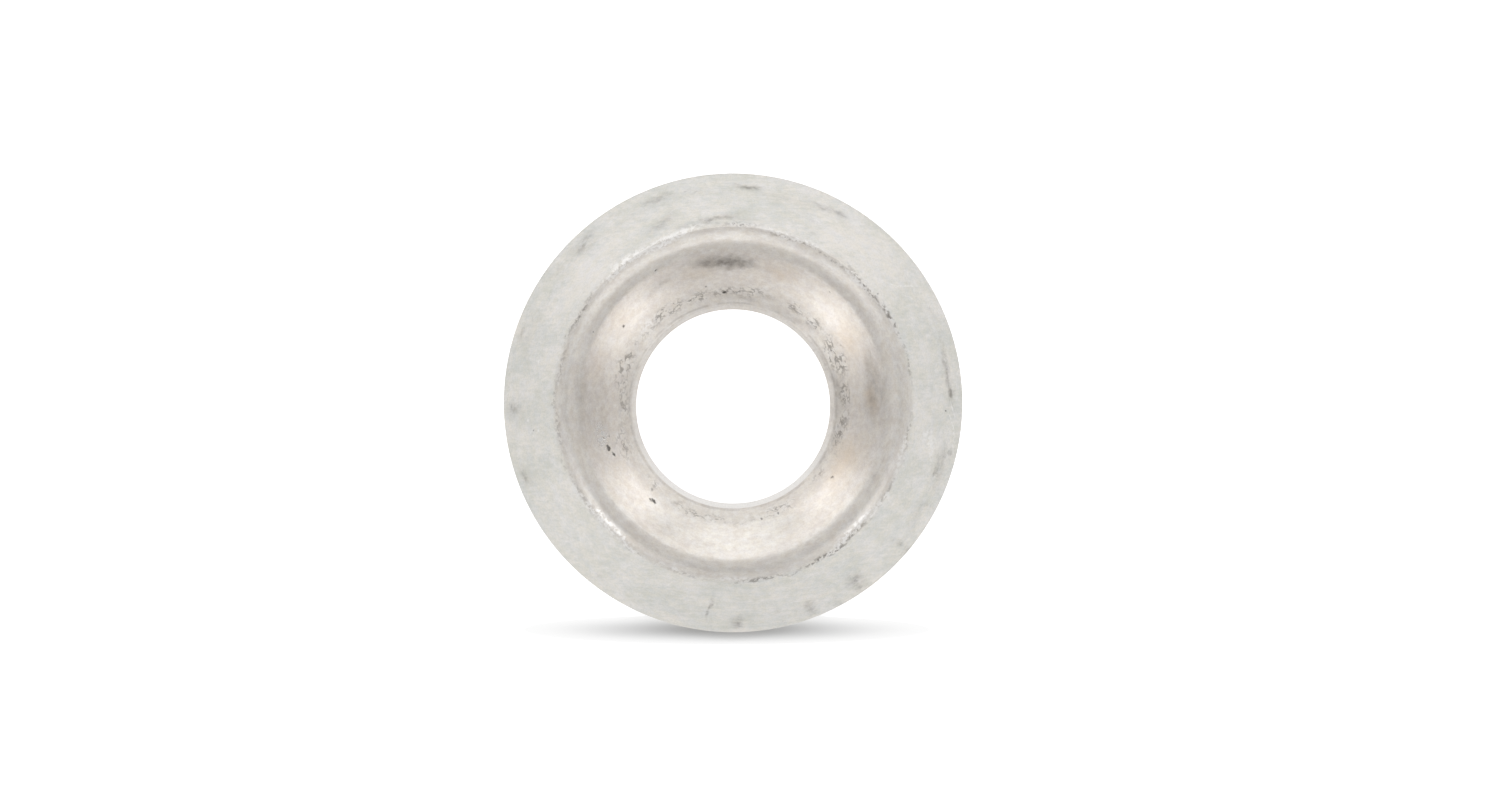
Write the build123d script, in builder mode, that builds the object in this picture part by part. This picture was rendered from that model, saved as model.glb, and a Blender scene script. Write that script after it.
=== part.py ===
"""A conical washer pressed from one disc of sheet metal, in millimetres.

The washer lies face up on the ground. +Z is its axis, and the origin is on that axis, level with
the foot of the rim. From the rim inwards its section climbs a sloping skirt, turns up a short
steep riser to a round crown, and falls ever steeper, like the mouth of a trumpet, down a funnel
to the hole that the screw goes through.
"""

import os
from math import cos, radians, sin, tan

from build123d import *

# Diameters on the face that is seen
rim_diameter = 22.0
crown_diameter = 15.36
hole_diameter = 9.3

# The hole is pierced this far off the axis, towards -Y
hole_offset = 0.17

# The sheet, and its slopes in degrees from level. The funnel steepens all the way down, from its
# slope just inside the crown to the one at the sheet's inner end, before the hole is pierced.
sheet = 0.7
skirt_slope = 24.0
riser_slope = 42.0
funnel_top_slope = 16.0
funnel_end_slope = 33.0

# Each bend is given by the radius inside it, and the radius outside it is one sheet more.
# Between the bends the riser and the crown keep short straight stretches.
corner_bend = 0.15
shoulder_bend = 0.38
funnel_bend = 0.8
riser_flat = 0.04
crown_flat = 0.04

# The shallow ring that the press leaves in the skirt
ring_diameter = 20.54
ring_width = 0.5
ring_depth = 0.02

# The foot is pressed level over this width. Tumbling has worn a small bevel on its outer edge and
# one on the rim's upper edge. The hole's wall opens at this slope from this height up.
foot_width = 0.3
foot_bevel = 0.05
rim_bevel = 0.08
lip_slope = 68.0
lip_height = 0.59

rim_radius = rim_diameter / 2
crown_radius = crown_diameter / 2
hole_radius = hole_diameter / 2
skirt_gradient = tan(radians(skirt_slope))
riser_gradient = tan(radians(riser_slope))


def bend_reach(radius, turn):
    """How far before its sharp corner a bend begins, for its radius and its turn in degrees."""
    return radius * tan(radians(turn / 2))


# The riser and the crown, as radius and height, with sharp corners before the bends are made
shoulder_reach = bend_reach(shoulder_bend + sheet, riser_slope)
corner_reach = bend_reach(corner_bend, riser_slope - skirt_slope)
riser_run = (shoulder_reach + riser_flat + corner_reach) * cos(radians(riser_slope))
shoulder_radius = crown_radius + crown_flat / 2 + shoulder_reach
corner_radius = shoulder_radius + riser_run

rim_height = sheet / cos(radians(skirt_slope)) - foot_width * skirt_gradient
corner_height = rim_height + (rim_radius - corner_radius) * skirt_gradient
crown_height = corner_height + riser_run * riser_gradient

# The funnel falls half of its run towards the middle point, and the rest at the end slope. The
# sheet is drawn past the rim and past the hole, where it is trimmed afterwards.
spare = 2 * sheet
crown_bend = funnel_bend + sheet
funnel_top_radius = crown_radius - crown_flat / 2 - crown_bend * sin(radians(funnel_top_slope))
funnel_top_height = crown_height - crown_bend * (1 - cos(radians(funnel_top_slope)))
half_run = (funnel_top_radius - (hole_radius - hole_offset - spare)) / 2
middle_height = funnel_top_height - half_run * tan(radians(funnel_top_slope))
end_height = middle_height - half_run * tan(radians(funnel_end_slope))

# The ring is a round groove, and its centre stands square over the skirt
groove_radius = (ring_width**2 / 4 + ring_depth**2) / (2 * ring_depth)
groove_lift = groove_radius - ring_depth
ring_radius = ring_diameter / 2
ring_height = rim_height + (rim_radius - ring_radius) * skirt_gradient
groove_centre = (
    ring_radius + groove_lift * sin(radians(skirt_slope)),
    ring_height + groove_lift * cos(radians(skirt_slope)),
)

# The lip's cutter reaches up to the level of the crown
lip_cutter_height = crown_height - lip_height
lip_cutter_radius = hole_radius + lip_cutter_height / tan(radians(lip_slope))


def corner_point(radius, height, slope, next_slope, depth):
    """A corner of the section that deep under the face. Slopes that fall inwards are positive."""
    mean_slope = radians((slope + next_slope) / 2)
    reach = depth / cos(radians((next_slope - slope) / 2))
    return (radius + reach * sin(mean_slope), height - reach * cos(mean_slope))


def draw_side(depth):
    """One side of the sheet, that deep under the face. Returns its end at the rim and the hole."""
    rise = FilletPolyline(
        corner_point(
            rim_radius + spare, rim_height - spare * skirt_gradient, -skirt_slope, -skirt_slope, depth
        ),
        corner_point(corner_radius, corner_height, -skirt_slope, -riser_slope, depth),
        corner_point(shoulder_radius, crown_height, -riser_slope, 0, depth),
        corner_point(crown_radius - crown_flat / 2, crown_height, 0, 0, depth),
        radius=(corner_bend + depth, shoulder_bend + sheet - depth),
    )
    bend = JernArc(rise @ 1, rise % 1, crown_bend - depth, funnel_top_slope)
    middle = (funnel_top_radius - half_run, middle_height, funnel_top_slope, funnel_end_slope)
    end = (funnel_top_radius - 2 * half_run, end_height, funnel_end_slope, funnel_end_slope)
    funnel = Bezier(bend @ 1, corner_point(*middle, depth), corner_point(*end, depth))
    return rise @ 0, funnel @ 1


with BuildPart() as conical_washer:
    with BuildSketch(Plane.XZ):
        # The pressed sheet
        with BuildLine():
            for face_end, underside_end in zip(draw_side(0), draw_side(sheet)):
                Line(face_end, underside_end)
        make_face()

        # The rim is trimmed upright, and the foot is pressed level with the ground
        with Locations((rim_radius, 0)):
            Rectangle(2 * spare, 2 * crown_height, align=(Align.MIN, Align.CENTER), mode=Mode.SUBTRACT)
            Rectangle(2 * foot_width, crown_height, align=(Align.CENTER, Align.MAX), mode=Mode.SUBTRACT)
        chamfer(vertices().group_by(Axis.X)[-1].sort_by(Axis.Y)[0], foot_bevel)
        chamfer(vertices().group_by(Axis.X)[-1].sort_by(Axis.Y)[-1], rim_bevel)

        with Locations(groove_centre):
            Circle(groove_radius, mode=Mode.SUBTRACT)
    revolve(axis=Axis.Z)

    # The hole is pierced straight down, and the shoulder of its punch opens the upper part of the
    # wall to a steep lip. The lip is widest towards -Y, as the funnel stands higher there.
    with Locations((0, -hole_offset, 0)):
        Cylinder(hole_radius, 3 * crown_height, mode=Mode.SUBTRACT)
    with Locations((0, -hole_offset, lip_height)):
        Cone(
            hole_radius,
            lip_cutter_radius,
            lip_cutter_height,
            align=(Align.CENTER, Align.CENTER, Align.MIN),
            mode=Mode.SUBTRACT,
        )

conical_washer.part.label = "conical_washer"
os.makedirs("parts", exist_ok=True)
export_step(conical_washer.part, "parts/conical_washer.step")
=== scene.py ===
"""A conical washer of pressed sheet metal, seen from straight above on a white floor.

Sizes in the first section are in millimetres, as the washer was drawn, and the mesh is in metres.
Angles round the washer run clockwise, as it is seen from above, from the top of the picture.
"""

from math import atan, cos, hypot, pi, radians, sin, sqrt, tan

import bpy
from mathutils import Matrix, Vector, noise


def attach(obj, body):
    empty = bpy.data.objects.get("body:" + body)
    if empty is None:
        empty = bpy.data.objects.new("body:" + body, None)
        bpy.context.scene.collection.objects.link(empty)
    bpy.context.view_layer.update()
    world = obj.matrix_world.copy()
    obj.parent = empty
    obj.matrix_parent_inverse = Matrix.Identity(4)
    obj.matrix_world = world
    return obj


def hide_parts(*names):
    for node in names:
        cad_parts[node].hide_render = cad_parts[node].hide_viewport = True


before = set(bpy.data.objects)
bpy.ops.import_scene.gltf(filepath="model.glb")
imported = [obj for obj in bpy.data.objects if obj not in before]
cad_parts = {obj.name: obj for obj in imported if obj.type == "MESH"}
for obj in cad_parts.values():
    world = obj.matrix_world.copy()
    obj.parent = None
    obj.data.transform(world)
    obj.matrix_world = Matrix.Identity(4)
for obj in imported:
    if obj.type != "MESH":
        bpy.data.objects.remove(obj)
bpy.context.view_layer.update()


# The washer
# One disc of sheet metal, pressed in one stroke into a skirt, a crown and a funnel, then pierced
# from above. It was tumbled with its batch, which left the skirt dull and the funnel bright.

MM = 0.001
rim_radius = 11.0
crown_radius = 7.68
hole_radius = 4.65
hole_offset = 0.17
sheet = 0.7

skirt_slope = radians(24.0)
riser_slope = radians(42.0)
funnel_top_slope = radians(16.0)
funnel_end_slope = radians(33.0)

corner_bend = 0.15
shoulder_bend = 0.38
funnel_bend = 0.8
riser_flat = 0.04
crown_flat = 0.04
ring_radius = 10.27
ring_width = 0.5
ring_depth = 0.02
foot_width = 0.3
foot_bevel = 0.05
rim_round = 0.12
rim_wear = 0.006
lip_slope = radians(68.0)
lip_height = 0.59
lip_wear = 0.04

# The section's corners before the bends are made, as radius and height
shoulder_reach = (shoulder_bend + sheet) * tan(riser_slope / 2)
corner_reach = corner_bend * tan((riser_slope - skirt_slope) / 2)
riser_run = (shoulder_reach + riser_flat + corner_reach) * cos(riser_slope)
shoulder_radius = crown_radius + crown_flat / 2 + shoulder_reach
corner_radius = shoulder_radius + riser_run
rim_height = sheet / cos(skirt_slope) - foot_width * tan(skirt_slope)
corner_height = rim_height + (rim_radius - corner_radius) * tan(skirt_slope)
crown_height = corner_height + riser_run * tan(riser_slope)

crown_bend = funnel_bend + sheet
funnel_top_radius = crown_radius - crown_flat / 2 - crown_bend * sin(funnel_top_slope)
funnel_top_height = crown_height - crown_bend * (1 - cos(funnel_top_slope))
half_run = (funnel_top_radius - (hole_radius - hole_offset - 2 * sheet)) / 2
middle_height = funnel_top_height - half_run * tan(funnel_top_slope)
end_height = middle_height - half_run * tan(funnel_end_slope)


def arc(centre, radius, start, end, steps):
    """Points on an arc. Its angles are from straight up, positive towards the rim."""
    angles = [start + (end - start) * i / steps for i in range(steps + 1)]
    return [(centre[0] + radius * sin(a), centre[1] + radius * cos(a)) for a in angles]


def funnel_point(share, depth):
    """A point on the funnel, that deep under its face, at a share of the way to its end."""
    top_angle, end_angle = funnel_top_slope, funnel_end_slope
    mean_angle = (top_angle + end_angle) / 2
    reach = depth / cos((end_angle - top_angle) / 2)
    middle_radius, end_radius = funnel_top_radius - half_run, funnel_top_radius - 2 * half_run
    top = (funnel_top_radius + depth * sin(top_angle), funnel_top_height - depth * cos(top_angle))
    middle = (middle_radius + reach * sin(mean_angle), middle_height - reach * cos(mean_angle))
    end = (end_radius + depth * sin(end_angle), end_height - depth * cos(end_angle))
    weights = ((1 - share) ** 2, 2 * share * (1 - share), share**2)
    return tuple(sum(w * p[i] for w, p in zip(weights, (top, middle, end))) for i in (0, 1))


halvings = 30  # of the range in which a point of the section is sought


def share_at(radius, depth):
    """How far along the funnel that radius is reached."""
    low, high = 0.0, 1.0
    for _ in range(halvings):
        middle = (low + high) / 2
        if funnel_point(middle, depth)[0] > radius:
            low = middle
        else:
            high = middle
    return low


def side(depth, fineness):
    """The crown, shoulder and corner, that deep under the face, from the funnel out to the skirt."""
    crown_steps, shoulder_steps, corner_steps = 6 * fineness, 8 * fineness, 5 * fineness
    shoulder_centre = (crown_radius + crown_flat / 2, crown_height - shoulder_bend - sheet)
    lean = corner_bend / cos((riser_slope - skirt_slope) / 2)
    corner_centre = (
        corner_radius + lean * sin((riser_slope + skirt_slope) / 2),
        corner_height + lean * cos((riser_slope + skirt_slope) / 2),
    )
    crown_centre = (crown_radius - crown_flat / 2, crown_height - crown_bend)
    return (
        arc(crown_centre, crown_bend - depth, -funnel_top_slope, 0, crown_steps)
        + arc(shoulder_centre, shoulder_bend + sheet - depth, 0, riser_slope, shoulder_steps)
        + arc(corner_centre, corner_bend + depth, pi + riser_slope, pi + skirt_slope, corner_steps)
    )


def skirt_height(radius):
    return rim_height + (rim_radius - radius) * tan(skirt_slope)


def from_hole(distance, around):
    """The distance from the washer's axis of a point that far from the hole's axis."""
    return sqrt(distance**2 - (hole_offset * sin(around)) ** 2) - hole_offset * cos(around)


def lip_edge(around):
    """The lip's upper edge at an angle round it: its distance from the hole's axis, and its height."""
    widest_lip = 0.6
    low, high = hole_radius, hole_radius + widest_lip
    for _ in range(halvings):
        middle = (low + high) / 2
        height = lip_height + (middle - hole_radius) * tan(lip_slope)
        if funnel_point(share_at(from_hole(middle, around), 0), 0)[1] > height:
            low = middle
        else:
            high = middle
    return low, lip_height + (low - hole_radius) * tan(lip_slope)


def worn(before, corner, after, reach, steps):
    """A corner worn to a curve, from that far before it to that far after it."""
    ends = []
    for end in (before, after):
        length = hypot(end[0] - corner[0], end[1] - corner[1])
        ends.append([corner[k] + (end[k] - corner[k]) * reach / length for k in (0, 1)])
    curve = []
    for i in range(steps + 1):
        t = i / steps
        weights = ((1 - t) ** 2, 2 * t * (1 - t), t**2)
        points = (ends[0], corner, ends[1])
        curve.append(tuple(sum(w * p[k] for w, p in zip(weights, points)) for k in (0, 1)))
    return curve


def between_ends(start, end, steps):
    """The numbers that part the way from start to end into so many steps, without the ends."""
    return [start + (end - start) * i / steps for i in range(1, steps)]


# How many points each stretch of the section gets
wall_steps, wear_steps, funnel_steps, skirt_steps = 4, 4, 44, 20
groove_steps, strip_steps, rim_steps, edge_steps = 8, 5, 8, 3
underside_steps, under_funnel_steps = 6, 10


def section(around):
    """The washer's closed section at an angle round it, from the hole's lower edge up and out."""
    wall = from_hole(hole_radius, around)
    wall_foot = funnel_point(share_at(wall, sheet), sheet)
    under_share = share_at(wall, sheet)
    lip_out, lip_top = lip_edge(around)
    lip = (from_hole(lip_out, around), lip_top)
    past_lip = funnel_point(share_at(lip[0], 0) * 0.98, 0)

    points = [wall_foot]
    points += [(wall, height) for height in between_ends(wall_foot[1], lip_height, wall_steps)]
    points += worn((wall, 0), (wall, lip_height), lip, lip_wear, wear_steps)
    points += worn((wall, lip_height), lip, past_lip, lip_wear, wear_steps)
    start_share = share_at(lip[0] + lip_wear, 0)
    points += [funnel_point(share, 0) for share in between_ends(start_share, 0, funnel_steps)]
    points += side(0, 2)

    groove_radius = (ring_width**2 / 4 + ring_depth**2) / (2 * ring_depth)
    groove_lift = groove_radius - ring_depth
    round_centre = rim_radius - rim_round
    skirt_foot = round_centre + rim_round * sin(skirt_slope)
    round_height = skirt_height(skirt_foot) - rim_round * cos(skirt_slope)
    groove_start = ring_radius - ring_width / 2 * cos(skirt_slope)
    points += [(r, skirt_height(r)) for r in between_ends(points[-1][0], groove_start, skirt_steps)]
    groove_centre = (
        ring_radius + groove_lift * sin(skirt_slope),
        skirt_height(ring_radius) + groove_lift * cos(skirt_slope),
    )
    turn, half_turn = pi + skirt_slope, atan(ring_width / 2 / groove_lift)
    points += arc(groove_centre, groove_radius, turn + half_turn, turn - half_turn, groove_steps)
    points += [(r, skirt_height(r)) for r in between_ends(points[-1][0], skirt_foot, strip_steps)]
    points += arc((round_centre, round_height), rim_round, skirt_slope, pi / 2, rim_steps)
    points += [(rim_radius, height) for height in between_ends(round_height, foot_bevel, edge_steps)]
    points += [(rim_radius, foot_bevel), (rim_radius - foot_bevel, 0), (rim_radius - foot_width, 0)]

    underside = side(sheet, 1)
    under_radii = between_ends(rim_radius - foot_width, underside[-1][0], underside_steps)
    points += zip(under_radii, between_ends(0, underside[-1][1], underside_steps))
    points += underside[::-1]
    points += [funnel_point(share, sheet) for share in between_ends(0, under_share, under_funnel_steps)]
    return points


def press_skew(radius):
    """How far the press set the crown off the axis, towards the bottom of the picture."""
    crown_skew = 0.12
    starts, full, fading, ends = 5.6, 7.2, 7.9, 9.3
    inner = min(max((radius - starts) / (full - starts), 0), 1)
    outer = min(max((ends - radius) / (ends - fading), 0), 1)
    return crown_skew * inner**2 * (3 - 2 * inner) * outer**2 * (3 - 2 * outer)


def press_wave(x, y):
    """How far the press left the sheet below its true form."""
    slow_wave, waves_per_mm = 0.006, 0.45
    quick_wave, ripples_per_mm = 0.0012, 1.3
    slow = noise.noise(Vector((x, y, 0)) * waves_per_mm)
    quick = noise.noise(Vector((x, y, 7)) * ripples_per_mm)
    return slow_wave * (slow - 1) + quick_wave * (quick - 1)


steps_round = 360
wave_height = 0.3  # Below this the wave dies away, so the foot stays level
sharp_edge = radians(35)
washer_mesh = bpy.data.meshes.new("washer_body")
vertices = []
for step in range(steps_round):
    around = 2 * pi * step / steps_round
    for radius, height in section(around):
        radius = min(radius, rim_radius - rim_wear)
        x, y = radius * sin(around), radius * cos(around) - press_skew(radius)
        height += press_wave(x, y) * min(height / wave_height, 1)
        vertices.append((x * MM, y * MM, height * MM))
ring = len(vertices) // steps_round
faces = []
for step in range(steps_round):
    here, there = step * ring, (step + 1) % steps_round * ring
    for k in range(ring):
        after = (k + 1) % ring
        faces.append((here + k, there + k, there + after, here + after))
washer_mesh.from_pydata(vertices, [], faces)
washer_mesh.validate()
washer_mesh.shade_smooth()
washer_mesh.set_sharp_from_angle(angle=sharp_edge)
washer = bpy.data.objects.new("washer_body", washer_mesh)
bpy.context.scene.collection.objects.link(washer)


class Signal:
    """One socket of a node tree. Sums of signals and numbers add Math nodes to the tree."""

    def __init__(self, tree, socket=None):
        self.tree = tree
        self.socket = socket

    def node(self, kind, settings=None, sockets=None):
        """Adds a node: its settings first, then its sockets' values or links."""
        made = self.tree.nodes.new(kind)
        for name, value in (settings or {}).items():
            setattr(made, name, value)
        for name, value in (sockets or {}).items():
            socket = made.inputs[name]
            if isinstance(value, Signal):
                self.tree.links.new(value.socket, socket)
            else:
                socket.default_value = value
        return Signal(self.tree, made.outputs[0] if len(made.outputs) else None)

    def output(self, name):
        """Another output of the same node."""
        return Signal(self.tree, self.socket.node.outputs[name])

    def math(self, operation, *values):
        return self.node("ShaderNodeMath", {"operation": operation}, dict(enumerate(values)))

    def __add__(self, other):
        return self.math("ADD", self, other)

    def __radd__(self, other):
        return self.math("ADD", other, self)

    def __sub__(self, other):
        return self.math("SUBTRACT", self, other)

    def __rsub__(self, other):
        return self.math("SUBTRACT", other, self)

    def __mul__(self, other):
        return self.math("MULTIPLY", self, other)

    def __rmul__(self, other):
        return self.math("MULTIPLY", other, self)

    def __truediv__(self, other):
        return self.math("DIVIDE", self, other)

    def __rtruediv__(self, other):
        return self.math("DIVIDE", other, self)

    def between(self, low, high):
        """0 below low, 1 above high and a smooth step between them. Low may be above high."""
        return self.node(
            "ShaderNodeMapRange",
            {"interpolation_type": "SMOOTHSTEP"},
            {"Value": self, "From Min": low, "From Max": high},
        )


washer_metal = bpy.data.materials.new("washer_metal")
washer_metal.use_nodes = True
washer_metal.node_tree.nodes.clear()
metal = Signal(washer_metal.node_tree)

place = metal.node("ShaderNodeTexCoord").output("Object")
axes = metal.node("ShaderNodeSeparateXYZ", sockets={"Vector": place})
x, y = axes.output("X") / MM, axes.output("Y") / MM
radius = metal.math("SQRT", x * x + y * y)
hole_y = y + hole_offset
from_hole_axis = metal.math("SQRT", x * x + hole_y * hole_y)


def colour_mix(factor, low, high, blend="MIX"):
    """A colour that goes from low to high as the factor goes from 0 to 1."""
    return metal.node(
        "ShaderNodeMix",
        {"data_type": "RGBA", "blend_type": blend},
        {0: factor, 6: low, 7: high},
    ).output(2)


def shaded(factor, colour, shade):
    """The colour, multiplied by the shade where the factor is 1."""
    return colour_mix(factor, colour, colour_mix(1.0, colour, shade, "MULTIPLY"))


def grains(where, scale, detail=3.0, roughness=0.55):
    """Noise from 0 to 1, at a number of grains to each unit of the place that it is given."""
    return metal.node(
        "ShaderNodeTexNoise",
        sockets={"Vector": where, "Scale": scale, "Detail": detail, "Roughness": roughness},
    )


def moved(seed):
    """The place on the metal, moved so that noise there is like no other."""
    return metal.node("ShaderNodeVectorMath", {"operation": "ADD"}, {0: place, 1: (seed, 0.0, 0.0)})


def speckle(scale, seed, detail=3.0, roughness=0.55):
    """Noise with round grains, at a number of them to the millimetre."""
    return grains(moved(seed), scale / MM, detail, roughness)


def drawn_out(along, across, seed, detail=3.0, roughness=0.55):
    """Noise with grains drawn out round the washer: so many to the radian and to the millimetre."""
    where = metal.node(
        "ShaderNodeCombineXYZ",
        sockets={"X": x / radius * along + seed, "Y": y / radius * along, "Z": radius * across},
    )
    return grains(where, 1.0, detail, roughness)


def swept(turn, seed):
    """Noise drawn out straight across the washer, as long scratches in one direction."""
    stretch, scratches_per_mm = 0.11, 6.5
    laid = metal.node(
        "ShaderNodeMapping",
        {"vector_type": "POINT"},
        {
            "Vector": place,
            "Location": (seed, 0.0, 0.0),
            "Rotation": (0.0, 0.0, radians(turn)),
            "Scale": (stretch, 1.0, 1.0),
        },
    )
    return grains(laid, scratches_per_mm / MM, detail=3.0, roughness=0.65)


def shaken(scale, reach, seed):
    """The place on the metal, moved about by noise, which makes the outline of a blot ragged."""
    cloud = metal.node(
        "ShaderNodeTexNoise", sockets={"Vector": moved(seed), "Scale": scale / MM, "Detail": 3.0}
    ).output("Color")
    level = metal.node(
        "ShaderNodeVectorMath", {"operation": "SUBTRACT"}, {0: cloud, 1: (0.5, 0.5, 0.5)}
    )
    return metal.node(
        "ShaderNodeVectorMath",
        {"operation": "MULTIPLY_ADD"},
        {0: level, 1: (reach * MM, reach * MM, 0.0), 2: place},
    )


def blots(rows, where, fade=0.7):
    """The sum of soft blots. A row is an angle round the washer, a distance from its axis, a length
    round it, a width, a turn towards the rim and a strength."""
    total = None
    for around, distance, length, width, turn, strength in rows:
        a = radians(around)
        spot = metal.node(
            "ShaderNodeMapping",
            {"vector_type": "TEXTURE"},
            {
                "Vector": where,
                "Location": (distance * sin(a) * MM, distance * cos(a) * MM, 0.0),
                "Rotation": (0.0, 0.0, radians(turn) - a),
                "Scale": (length * fade * MM, width * fade * MM, 1.0),
            },
        )
        blot = strength * metal.node(
            "ShaderNodeTexGradient", {"gradient_type": "SPHERICAL"}, {"Vector": spot}
        ).output("Fac")
        total = blot if total is None else total + blot
    return total


# Where each zone of the press work begins and ends
ragged = 0.25 * (speckle(2.2, 0.7) - 0.5)
bright = (radius + ragged).between(8.68, 8.30)
shoulder = (radius + ragged).between(7.3, 7.9)
deep = (radius + ragged).between(6.2, 5.5)

# The bare colours: a dull skin with green and rosy clouds on the skirt, warm metal in the funnel
skirt_green = (0.755, 0.758, 0.722, 1.0)
skirt_rosy = (0.915, 0.886, 0.856, 1.0)
funnel_dull = (0.735, 0.673, 0.620, 1.0)
funnel_pale = (0.870, 0.824, 0.775, 1.0)
funnel_tan = (0.720, 0.600, 0.480, 1.0)
tan_clouds = (
    (118, 6.0, 3.4, 1.8, 0, 0.9),
    (62, 6.3, 2.8, 1.6, 0, 0.7),
    (88, 6.6, 1.9, 0.7, 0, 0.9),
    (20, 6.6, 2.2, 1.0, 0, 0.7),
    (285, 6.7, 2.0, 1.0, 0, 0.6),
    (308, 6.7, 2.4, 1.2, 0, 0.5),
    (345, 6.4, 2.4, 0.8, 0, 0.5),
)
clouds = speckle(0.8, 0.1, detail=4.0)
fine_clouds = speckle(3.2, 0.2, detail=4.0, roughness=0.7)
strokes = drawn_out(16.0, 5.0, 3.0, detail=4.0, roughness=0.7)
# Pale patches on the skirt, the two at the top diagonals a painted sheen where the top boxes reflect
pale_patches_and_sheen = (
    (40, 9.6, 4.5, 1.6, 0, 1.0),
    (312, 9.2, 4.0, 1.4, 0, 1.0),
    (100, 9.3, 1.6, 0.9, 0, 0.5),
)
pale_skirt_and_sheen = blots(pale_patches_and_sheen, place, fade=1.0).between(0.0, 1.0)
sweep_a = speckle(0.45, 1.3).between(0.44, 0.56)
sweep_b = speckle(0.45, 1.7).between(0.44, 0.56)
sweeps = swept(65, 0.3) * sweep_a + swept(-20, 0.5) * (1.0 - sweep_a)
sweeps = sweeps * sweep_b + swept(25, 0.9) * (1.0 - sweep_b)
skirt_mix = 0.10 * pale_skirt_and_sheen + 0.32 * clouds + 0.22 * fine_clouds + 0.16 * strokes + 0.3 * sweeps
funnel_mix = 0.2 * clouds + 0.3 * fine_clouds + 0.5 * strokes
skirt_colour = colour_mix(skirt_mix.between(0.36, 0.64), skirt_green, skirt_rosy)
funnel_colour = colour_mix(funnel_mix.between(0.36, 0.64), funnel_dull, funnel_pale)
tan_here = blots(tan_clouds, shaken(1.2, 0.8, 0.3))
funnel_colour = colour_mix(tan_here.between(0.1, 0.9) * 0.6, funnel_colour, funnel_tan)
metal_colour = colour_mix(bright, skirt_colour, funnel_colour)

# The crown and the funnel's lower half are less warm
cooler = (0.975, 0.992, 1.0, 1.0)
less_warm = (
    (186, 6.2, 3.4, 1.6, 0, 1.6),
    (160, 6.2, 2.2, 1.4, 0, 1.0),
    (212, 6.0, 1.8, 1.4, 0, 0.8),
)
cool_here = blots(less_warm, shaken(0.8, 1.0, 0.6), fade=1.0).between(0.1, 0.9)
cool_crown = 0.8 * (radius + ragged).between(7.1, 7.4) * radius.between(8.1, 7.8)
cool_here = metal.math("MAXIMUM", cool_here, cool_crown)
metal_colour = shaded(cool_here, metal_colour, cooler)

# A faint cast wanders between straw and blue
cast = 0.5 * speckle(4.5, 1.1, detail=4.0, roughness=0.75) + 0.5 * drawn_out(9.0, 3.0, 25.0, detail=4.0)
straw = (1.0, 0.992, 0.962, 1.0)
blue = (0.992, 1.0, 1.015, 1.0)
cast_colour = colour_mix(cast.between(0.38, 0.62), straw, blue)
metal_colour = colour_mix(1.0, metal_colour, cast_colour, "MULTIPLY")

# The riser and the last of the funnel are a little darker, and the hole's wall and lip are lighter cut
# metal, with a painted highlight on them at the bottom of the hole
riser_shade = (0.920, 0.938, 0.950, 1.0)
riser = (radius + ragged).between(7.75, 8.0) * bright
metal_colour = shaded(riser, metal_colour, riser_shade)
drawn_shade = (0.940, 0.950, 0.955, 1.0)
drawn = (radius + ragged).between(6.0, 5.2)
metal_colour = shaded(drawn, metal_colour, drawn_shade)
pierced_and_highlit = (0.950, 0.930, 0.905, 1.0)
cut_and_highlight = from_hole_axis.between(4.91, 4.86) * (1.0 - 0.85 * y.between(-4.3, -0.5))
metal_colour = colour_mix(cut_and_highlight, metal_colour, pierced_and_highlit)

# Grey smudges that rubbed off on it in the barrel and oil that dried in the funnel, with painted shade
# among them
smudges = (
    # Streaks along the ring in the skirt
    (4, 10.35, 1.0, 0.22, 0, 0.8),
    (28, 10.35, 1.6, 0.22, 4, 0.8),
    (66, 10.4, 1.2, 0.2, 0, 0.6),
    (80, 10.35, 2.8, 0.22, 0, 0.8),
    (87, 10.49, 0.34, 0.26, 0, 1.1),
    (103, 10.73, 0.34, 0.24, 0, 1.2),
    (109, 10.25, 1.6, 0.5, 12, 0.8),
    # Rubbed marks across the rim
    (118, 10.5, 0.3, 0.7, 10, 0.6),
    (130, 10.5, 0.3, 0.8, 15, 0.8),
    (145.5, 10.45, 0.5, 0.9, 30, 1.0),
    (152, 10.6, 0.3, 0.5, 0, 0.6),
    (159, 10.5, 0.4, 0.7, 10, 0.8),
    (168, 10.2, 0.4, 0.6, 20, 0.5),
    (179, 10.55, 0.5, 0.6, 0, 0.8),
    (186.6, 9.9, 0.16, 0.9, -14, 1.4),
    (194, 10.5, 0.8, 0.4, 0, 0.6),
    (218, 10.6, 0.7, 0.4, 10, 0.5),
    (250, 10.5, 0.8, 0.5, 0, 0.5),
    (268, 10.6, 0.6, 0.5, 0, 0.5),
    (288, 10.7, 0.6, 0.3, 0, 0.6),
    (306, 10.5, 0.8, 0.5, -8, 0.5),
    (316, 10.45, 1.4, 0.6, 4, 0.6),
    (328, 10.6, 0.6, 0.3, 0, 0.5),
    (339, 10.4, 1.4, 0.25, 0, 0.6),
    (350, 10.3, 0.9, 0.25, 0, 0.8),
    # Marks on the open skirt
    (24, 9.5, 0.3, 0.2, 0, 0.6),
    (25, 8.95, 0.3, 0.2, 0, 0.6),
    (216, 9.0, 0.7, 0.2, 10, 0.6),
    (338, 9.2, 1.2, 0.34, 14, 0.5),
    (352, 8.75, 2.3, 0.3, 4, 0.6),
    (309, 9.1, 0.9, 0.6, 0, 0.3),
)
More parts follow.
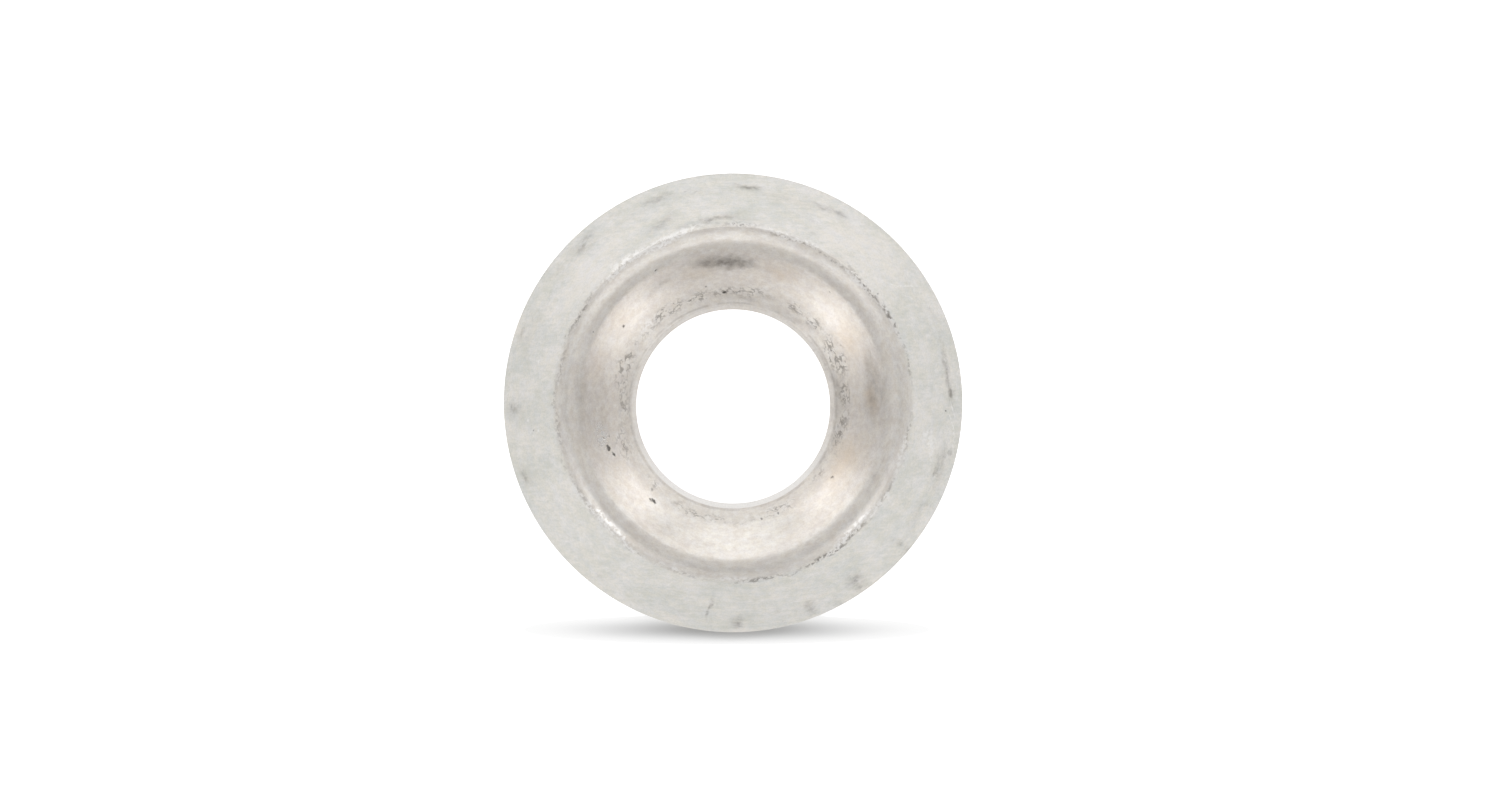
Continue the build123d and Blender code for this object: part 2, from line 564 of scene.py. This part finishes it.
films_and_shade = (
    # Oil at the head of the funnel, on the crown and near the hole
    (-5, 6.76, 1.9, 0.50, -4, 0.90),
    (2, 6.66, 1.2, 0.46, 0, 0.60),
    (-12, 6.84, 1.6, 0.32, -4, 0.5),
    (10, 6.62, 1.3, 0.30, 0, 0.4),
    (0, 6.4, 2.8, 0.6, 0, 0.25),
    (88, 7.1, 2.2, 0.6, 0, 0.7),
    (88, 6.55, 2.4, 0.40, 0, 0.8),
    (74, 6.9, 1.8, 0.5, 0, 0.55),
    (32, 6.8, 1.8, 0.6, 0, 0.30),
    (30, 7.98, 2.2, 0.3, 0, 0.45),
    (12, 7.98, 1.8, 0.25, 0, 0.25),
    (91, 5.7, 2.2, 0.7, 0, 0.50),
    (272, 7.2, 2.6, 0.6, 0, 0.65),
    (270, 7.95, 2.6, 0.4, 0, 0.30),
    (328, 6.6, 1.8, 0.45, 0, 0.65),
    (330, 7.3, 1.8, 0.24, 0, 0.4),
    (117, 7.57, 2.9, 0.16, 0, 0.5),
    (184, 7.9, 3.4, 0.3, 0, 0.35),
    # Painted shade on the funnel's lower half, over and between its highlights
    (150, 6.3, 1.8, 0.7, 0, 0.30),
    (210, 6.9, 1.8, 0.9, 0, 0.40),
    (208, 5.5, 2.4, 0.5, 0, 0.25),
    (180, 5.7, 6.0, 0.9, 0, 0.28),
    # Oil near the hole
    (90, 5.05, 3.2, 0.5, 0, 0.5),
    (90, 4.82, 2.2, 0.3, 0, 0.25),
    (66, 4.80, 2.8, 0.28, 0, 0.6),
    (24, 4.80, 2.6, 0.24, 0, 0.4),
    (3, 5.05, 2.8, 0.35, 0, 0.5),
    (32, 5.05, 2.2, 0.35, 0, 0.45),
    (120, 5.05, 2.2, 0.35, 0, 0.5),
    (285, 5.0, 2.6, 0.35, 0, 0.4),
    # Grey films on the skirt
    (338, 9.2, 1.8, 0.45, 14, 0.34),
    (352, 8.75, 2.6, 0.28, 4, 0.42),
    (4, 8.7, 1.6, 0.2, 0, 0.39),
    (316, 10.4, 2.2, 0.6, 4, 0.26),
    (339, 10.4, 2.0, 0.3, 0, 0.34),
    (4, 10.35, 1.2, 0.24, 0, 0.39),
    (15, 10.0, 2.6, 0.6, 0, 0.26),
    (28, 10.3, 1.8, 0.26, 4, 0.26),
    (145, 10.4, 1.3, 0.8, 30, 0.29),
    (160, 10.4, 1.1, 0.6, 10, 0.33),
    (178, 10.5, 1.2, 0.5, 0, 0.26),
    (105, 10.4, 2.0, 0.5, 5, 0.39),
    (122, 10.3, 1.4, 0.6, 10, 0.39),
    (85, 10.3, 2.2, 0.4, 0, 0.36),
    (268, 10.4, 1.4, 0.7, 0, 0.36),
    (288, 10.3, 2.0, 0.8, 0, 0.33),
    (250, 10.5, 1.2, 0.5, 0, 0.23),
)
# A dotted darker line along the riser's foot, all round it
riser_foot_darkening = (
    (2, 8.5, 1.6, 0.2, 0, 0.9),
    (17, 8.25, 1.8, 0.14, 0, 0.9),
    (33, 8.25, 2.2, 0.14, 0, 1.1),
    (50, 8.38, 2.6, 0.20, 0, 1.2),
    (64, 8.52, 1.9, 0.18, 0, 1.1),
    (78, 8.56, 1.6, 0.16, 0, 0.8),
    (100, 8.5, 2.4, 0.16, 0, 0.7),
    (120, 8.45, 1.8, 0.14, 0, 0.8),
    (138, 8.48, 2.2, 0.18, 0, 1.1),
    (151, 8.5, 2.0, 0.18, 0, 1.3),
    (171, 8.5, 2.6, 0.18, 0, 1.1),
    (196, 8.5, 2.0, 0.16, 0, 0.7),
    (214, 8.48, 1.6, 0.14, 0, 0.7),
    (240, 8.45, 2.6, 0.2, 0, 0.7),
    (262, 8.42, 3.0, 0.28, 0, 0.7),
    (282, 8.38, 2.6, 0.28, 0, 0.7),
    (300, 8.42, 2.2, 0.2, 0, 1.1),
    (318, 8.42, 1.8, 0.16, 0, 0.7),
)
smudge_and_shade = blots(smudges, shaken(1.7, 0.5, 0.4), fade=0.95)
patchy = drawn_out(20.0, 5.0, 5.0, detail=4.0, roughness=0.65).between(0.30, 0.70)
smears = drawn_out(7.0, 2.2, 31.0, detail=5.0, roughness=0.7).between(0.56, 0.78)
smudge_and_shade = smudge_and_shade + 0.7 * smears * radius.between(9.6, 10.3)
film_and_shade = blots(films_and_shade, shaken(0.9, 0.5, 0.25), fade=1.0)
dots = 0.5 * speckle(6.0, 2.1, roughness=0.65) + 0.5 * drawn_out(38.0, 7.0, 37.0)
dots = dots.between(0.44, 0.56)
dotted_foot_darkening = blots(riser_foot_darkening, shaken(1.4, 0.3, 1.9), fade=0.9) * dots
smudge_and_shade = 0.8 * smudge_and_shade * (0.2 + 0.8 * patchy) + film_and_shade * (0.65 + 0.35 * patchy) + dotted_foot_darkening
smudge_and_shade = smudge_and_shade.between(0.0, 1.5)

# Small pits, and the band near the hole where the sheet tore in short curved cracks as it was drawn
pits = (
    (127, 5.9, 0.28, 0.2, 0, 1.0),
    (157.5, 5.7, 0.26, 0.2, 0, 1.1),
    (166, 5.7, 0.24, 0.2, 0, 1.0),
    (170, 6.47, 0.24, 0.18, 0, 0.7),
    (219, 6.03, 0.42, 0.22, -20, 1.9),
    (220.5, 6.1, 0.24, 0.14, 0, 1.2),
    (223, 5.65, 0.4, 0.3, 0, 0.9),
    (246.5, 6.18, 0.42, 0.18, 10, 1.5),
    (250, 6.3, 0.42, 0.26, 0, 2.2),
    (254.5, 6.36, 0.3, 0.14, 10, 1.2),
    (255, 6.1, 0.3, 0.14, 0, 1.0),
    (305, 6.37, 0.26, 0.2, 0, 1.2),
    (330, 7.28, 0.34, 0.16, 0, 1.3),
    (297, 7.45, 0.24, 0.16, 0, 1.0),
    (347, 5.7, 0.26, 0.16, 0, 1.0),
    (355.5, 5.28, 0.4, 0.22, 0, 1.5),
    (337, 5.3, 0.5, 0.16, 0, 1.1),
    (48, 8.42, 0.3, 0.16, 0, 0.8),
    (53, 8.6, 0.3, 0.16, 0, 0.8),
    (57, 8.5, 0.2, 0.14, 0, 0.7),
    (92, 10.2, 0.2, 0.16, 0, 1.2),
    (262, 9.6, 0.18, 0.14, 0, 1.0),
    (41, 7.0, 0.2, 0.14, 0, 0.9),
)
cracked = (
    (9, 5.35, 1.9, 0.7, 0, 0.9),
    (33, 5.4, 1.0, 0.6, 0, 1.0),
    (45, 5.4, 1.2, 0.7, 0, 1.1),
    (65, 5.4, 1.9, 0.9, 0, 1.6),
    (84, 5.35, 1.1, 0.7, 0, 1.1),
    (104, 5.3, 2.8, 0.7, 0, 1.0),
    (130, 5.35, 1.6, 0.5, 0, 0.6),
    (157, 5.5, 3.8, 0.6, 0, 0.8),
    (190, 5.6, 2.4, 0.5, 0, 0.8),
    (205, 5.55, 1.6, 0.4, 0, 0.8),
    (225, 5.4, 1.6, 0.5, 0, 0.7),
    (249, 5.6, 2.0, 0.8, 0, 0.8),
    (270, 5.2, 2.4, 0.6, 0, 0.8),
    (290, 5.45, 2.2, 0.8, 0, 1.2),
    (312, 5.3, 1.8, 0.6, 0, 0.7),
    (326, 5.38, 1.5, 0.6, 0, 1.4),
    (343, 5.3, 1.3, 0.6, 0, 0.9),
    (356, 5.3, 1.2, 0.5, 0, 1.0),
)
pit = blots(pits, shaken(4.5, 0.22, 0.5), fade=0.5).between(0.3, 1.2)
crack_noise = drawn_out(13.0, 4.5, 9.0, detail=2.0, roughness=0.6)
crack_lines = metal.math("ABSOLUTE", crack_noise - 0.5).between(0.075, 0.02)
crack_gaps = drawn_out(14.0, 4.0, 13.0).between(0.40, 0.54)
crack = crack_lines * crack_gaps * blots(cracked, shaken(2.0, 0.3, 0.6)).between(0.1, 0.9)

# The lip's outer edge has a thin broken darker line
line_gaps = drawn_out(9.0, 3.0, 17.0).between(0.3, 0.6)
from_line = metal.math("ABSOLUTE", from_hole_axis - 4.96 + 0.15 * ragged)
lip_line = from_line.between(0.07, 0.01) * line_gaps

oil_and_shade = (0.235, 0.215, 0.195, 1.0)
pit_black = (0.050, 0.046, 0.042, 1.0)
grime_and_shade = 0.95 * smudge_and_shade
metal_colour = colour_mix(grime_and_shade, metal_colour, oil_and_shade)
metal_colour = colour_mix(0.22 * lip_line, metal_colour, oil_and_shade)
metal_colour = colour_mix(0.65 * crack, metal_colour, oil_and_shade)
metal_colour = colour_mix(0.85 * pit, metal_colour, pit_black)

# Scratches and rubbed spots where the bare metal shows through the dull skin, and painted highlights on
# the riser and low in the funnel
rubs_and_highlights = (
    # Painted highlights on the riser
    (226, 8.30, 4.4, 0.46, 0, 1.3),
    (200, 8.36, 2.4, 0.30, 0, 0.8),
    (334, 8.34, 5.4, 0.46, 0, 1.5),
    (20, 8.36, 4.2, 0.34, 0, 0.9),
    (45, 8.3, 2.4, 0.34, 0, 1.0),
    (106, 8.36, 3.0, 0.36, 0, 0.8),
    (135, 8.32, 4.4, 0.40, 0, 1.2),
    (180, 8.38, 3.4, 0.26, 0, 0.7),
    (318, 8.34, 2.4, 0.36, 0, 1.0),
    # Painted highlights low in the funnel
    (44, 5.4, 1.0, 0.5, 0, 0.6),
    (312, 5.5, 2.0, 0.6, 0, 0.6),
    (225, 5.4, 1.6, 0.5, 0, 0.5),
    (256, 6.45, 1.5, 0.7, 0, 1.0),
    # The skirt
    (53, 9.4, 1.2, 0.06, 40, 1.0),
    (56, 10.0, 1.4, 0.06, 55, 1.0),
    (59, 9.8, 1.0, 0.05, 35, 0.8),
    (92, 10.55, 0.8, 0.08, 20, 1.4),
    (95, 10.5, 1.0, 0.08, 25, 1.4),
    (98, 10.7, 0.7, 0.07, 20, 1.2),
    (102, 10.75, 0.6, 0.07, 15, 1.2),
    (101, 9.5, 1.3, 0.9, 20, 0.75),
    (106, 9.9, 1.6, 0.5, 10, 0.5),
    (99, 9.3, 0.3, 0.2, 0, 1.0),
    (262, 9.4, 0.22, 0.16, 0, 1.2),
    (265, 9.8, 0.2, 0.12, 0, 1.0),
    (282, 9.5, 0.24, 0.2, 0, 0.8),
    (6, 9.7, 1.2, 0.06, -20, 0.7),
    (352, 9.9, 1.1, 0.05, 15, 0.7),
    (200, 9.3, 0.9, 0.05, 50, 0.7),
    (228, 9.8, 0.7, 0.05, -40, 0.7),
    (161, 9.7, 0.8, 0.05, 25, 0.6),
)
rub_and_highlight = (blots(rubs_and_highlights, shaken(2.4, 0.2, 0.8)) * (1.25 - 0.9 * dots)).between(0.1, 1.1)
rubbed_and_highlit = (0.970, 0.955, 0.935, 1.0)
metal_colour = colour_mix(0.75 * rub_and_highlight, metal_colour, rubbed_and_highlit)

fine_grain = speckle(15.0, 0.9, roughness=0.7)
scratches = drawn_out(60.0, 22.0, 21.0, detail=3.0, roughness=0.75)
grain_shade = 0.5 * fine_grain + 0.5 * scratches
grain_dark = (0.910, 0.910, 0.910, 1.0)
metal_colour = shaded(grain_shade.between(0.64, 0.36), metal_colour, grain_dark)

# The skirt is the roughest, then the end of the funnel, the shoulder, and the rest of the funnel
roughness = 0.6 - 0.30 * bright + 0.09 * bright * shoulder + 0.12 * deep
roughness = roughness + 0.08 * (grain_shade - 0.5) + 0.12 * grime_and_shade - 0.1 * rub_and_highlight

relief = grain_shade + 0.6 * strokes - 1.6 * pit - 1.2 * crack
bump = metal.node(
    "ShaderNodeBump",
    sockets={"Strength": 0.3, "Distance": 0.02 * MM, "Height": relief},
)
metal_shader = metal.node(
    "ShaderNodeBsdfPrincipled",
    sockets={
        "Base Color": metal_colour,
        "Metallic": 1.0,
        "Roughness": roughness,
        "Normal": bump,
    },
)
metal.node("ShaderNodeOutputMaterial", sockets={"Surface": metal_shader})

washer_mesh.materials.append(washer_metal)
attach(washer, "root")
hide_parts("conical_washer")


# The floor
# A sheet of thin white card, wide enough to run out of every view. It is lit as the washer
# is, and only the camera and reflections see it topped up to white. Occlusion towards the top of the
# picture dims the top-up below the washer but not in its hole, which paints the washer's shadow at the
# bottom, and a painted shadow band spreads sideways there, thin and soft.

floor_half = 1.5
floor_thick = 0.0001
floor_gap = 0.00001
floor_corners = ((-1, -1), (1, -1), (1, 1), (-1, 1))
floor_mesh = bpy.data.meshes.new("floor")
floor_mesh.from_pydata(
    [(a * floor_half, b * floor_half, c * floor_thick) for c in (-1, 0) for a, b in floor_corners],
    [],
    [(4, 5, 6, 7), (3, 2, 1, 0), (0, 1, 5, 4), (1, 2, 6, 5), (2, 3, 7, 6), (3, 0, 4, 7)],
)
floor = bpy.data.objects.new("floor", floor_mesh)
floor.location.z = -floor_gap
bpy.context.scene.collection.objects.link(floor)

floor_board = bpy.data.materials.new("floor_board")
floor_board.use_nodes = True
floor_board.node_tree.nodes.clear()
board = Signal(floor_board.node_tree)
light_path = board.node("ShaderNodeLightPath")
mirrored = board.math(
    "MAXIMUM", light_path.output("Is Glossy Ray"), light_path.output("Is Transmission Ray")
)
to_light = board.node("ShaderNodeCombineXYZ", sockets={"X": 0.0, "Y": 0.95, "Z": 0.31})
open_air = board.node(
    "ShaderNodeAmbientOcclusion", {"samples": 16}, {"Distance": 0.65 * MM, "Normal": to_light}
).output("AO").between(0.0, 1.0)
board_place = board.node("ShaderNodeTexCoord").output("Object")
spot = board.node("ShaderNodeSeparateXYZ", sockets={"Vector": board_place})
board_x, board_y = spot.output("X") / MM, spot.output("Y") / MM
in_hole = (board_x * board_x + board_y * board_y).between(8.0**2, 7.0**2)
under_rim = board.math("ABSOLUTE", board_x).between(6.5, 1.5)
top_up = board.math("MAXIMUM", 1.0 - (1.0 - open_air) * under_rim, in_hole)

# The painted shadow band: where its middle is, and how far it reaches sideways and up
painted_band_place = board.node(
    "ShaderNodeMapping",
    {"vector_type": "TEXTURE"},
    {
        "Vector": board_place,
        "Location": (-0.3 * MM, -10.90 * MM, 0.0),
        "Scale": (9.9 * MM, 0.74 * MM, 1.0),
    },
)
painted_band = board.node(
    "ShaderNodeTexGradient", {"gradient_type": "SPHERICAL"}, {"Vector": painted_band_place}
).output("Fac")
spare = 0.48  # The share of its top-up that the floor can lose and still be white
painted_band_shadow = spare * painted_band.between(0.0, 0.02) + (1.0 - spare) * painted_band.between(0.0, 0.95)
top_up = board.math("MINIMUM", top_up, 1.0 - painted_band_shadow)

white_glow, mirrored_glow = 1.05, 0.5
glow = mirrored_glow * mirrored + light_path.output("Is Camera Ray") * top_up * white_glow
lit_board = board.node("ShaderNodeBsdfDiffuse", sockets={"Color": (0.5, 0.5, 0.5, 1.0)})
board_glow = board.node(
    "ShaderNodeEmission", sockets={"Color": (1.0, 1.0, 1.0, 1.0), "Strength": glow}
)
board_shader = board.node("ShaderNodeAddShader", sockets={0: lit_board, 1: board_glow})
board.node("ShaderNodeOutputMaterial", sockets={"Surface": board_shader})
floor_mesh.materials.append(floor_board)


# The light
# Four soft boxes stand on the diagonals, a brighter one leans over from the top of the picture and
# a faint one from the bottom. The room is a plain pale grey, lighter at its walls and its ceiling.

def soft_box(name, around, tilt, distance, width, depth, brightness):
    """A soft box at an angle round the washer, tilted off straight up, facing the washer. Its
    distance, width and depth are in metres."""
    lamp = bpy.data.lights.new(name, "AREA")
    lamp.shape = "RECTANGLE"
    lamp.size = width
    lamp.size_y = depth
    lamp.energy = brightness * pi * width * depth
    box = bpy.data.objects.new(name, lamp)
    a, t = radians(around), radians(tilt)
    box.location = Vector((sin(a) * sin(t), cos(a) * sin(t), cos(t))) * distance
    box.rotation_mode = "QUATERNION"
    box.rotation_quaternion = (-box.location).to_track_quat("-Z", "Y")
    box.visible_camera = False
    bpy.context.scene.collection.objects.link(box)


soft_box("top_box", 0, 38, 0.5, 0.19, 0.34, 0.89)
soft_box("right_top_box", 46, 40, 0.45, 0.12, 0.20, 1.38)
soft_box("right_low_box", 130, 43, 0.45, 0.15, 0.26, 1.02)
soft_box("left_low_box", 231, 43, 0.45, 0.15, 0.26, 1.08)
soft_box("bottom_box", 190, 42, 0.45, 0.20, 0.16, 0.28)
soft_box("left_top_box", 314, 40, 0.45, 0.12, 0.20, 1.44)

room = bpy.data.worlds.new("room")
room.use_nodes = True
room.node_tree.nodes.clear()
air = Signal(room.node_tree)
upward = air.node(
    "ShaderNodeSeparateXYZ", sockets={"Vector": air.node("ShaderNodeTexCoord").output("Generated")}
).output("Z")
walls = upward.between(cos(radians(38)), cos(radians(52)))
ceiling = upward.between(cos(radians(30)), cos(radians(12)))
air.node(
    "ShaderNodeOutputWorld",
    sockets={
        "Surface": air.node(
            "ShaderNodeBackground",
            sockets={"Color": (1.0, 1.0, 1.0, 1.0), "Strength": 0.48 + 0.30 * walls + 0.20 * ceiling},
        )
    },
)
bpy.context.scene.world = room
bpy.context.scene.view_settings.view_transform = "Standard"


# The camera
# It looks straight down with a long lens, a little right of the washer and above it, as in the
# photograph, where the rim measures 22 mm in a field 71.9 mm wide.

camera_data = bpy.data.cameras.new("camera")
camera_data.lens = 100.0
camera_data.sensor_width = 36.0
camera_data.clip_start = 0.01
camera_data.clip_end = 10.0
camera = bpy.data.objects.new("camera", camera_data)
field_width = 71.87
camera_right, camera_up = 0.812, 0.134
camera_height = field_width * camera_data.lens / camera_data.sensor_width + rim_height
camera.location = (camera_right * MM, camera_up * MM, camera_height * MM)
bpy.context.scene.collection.objects.link(camera)
bpy.context.scene.camera = camera
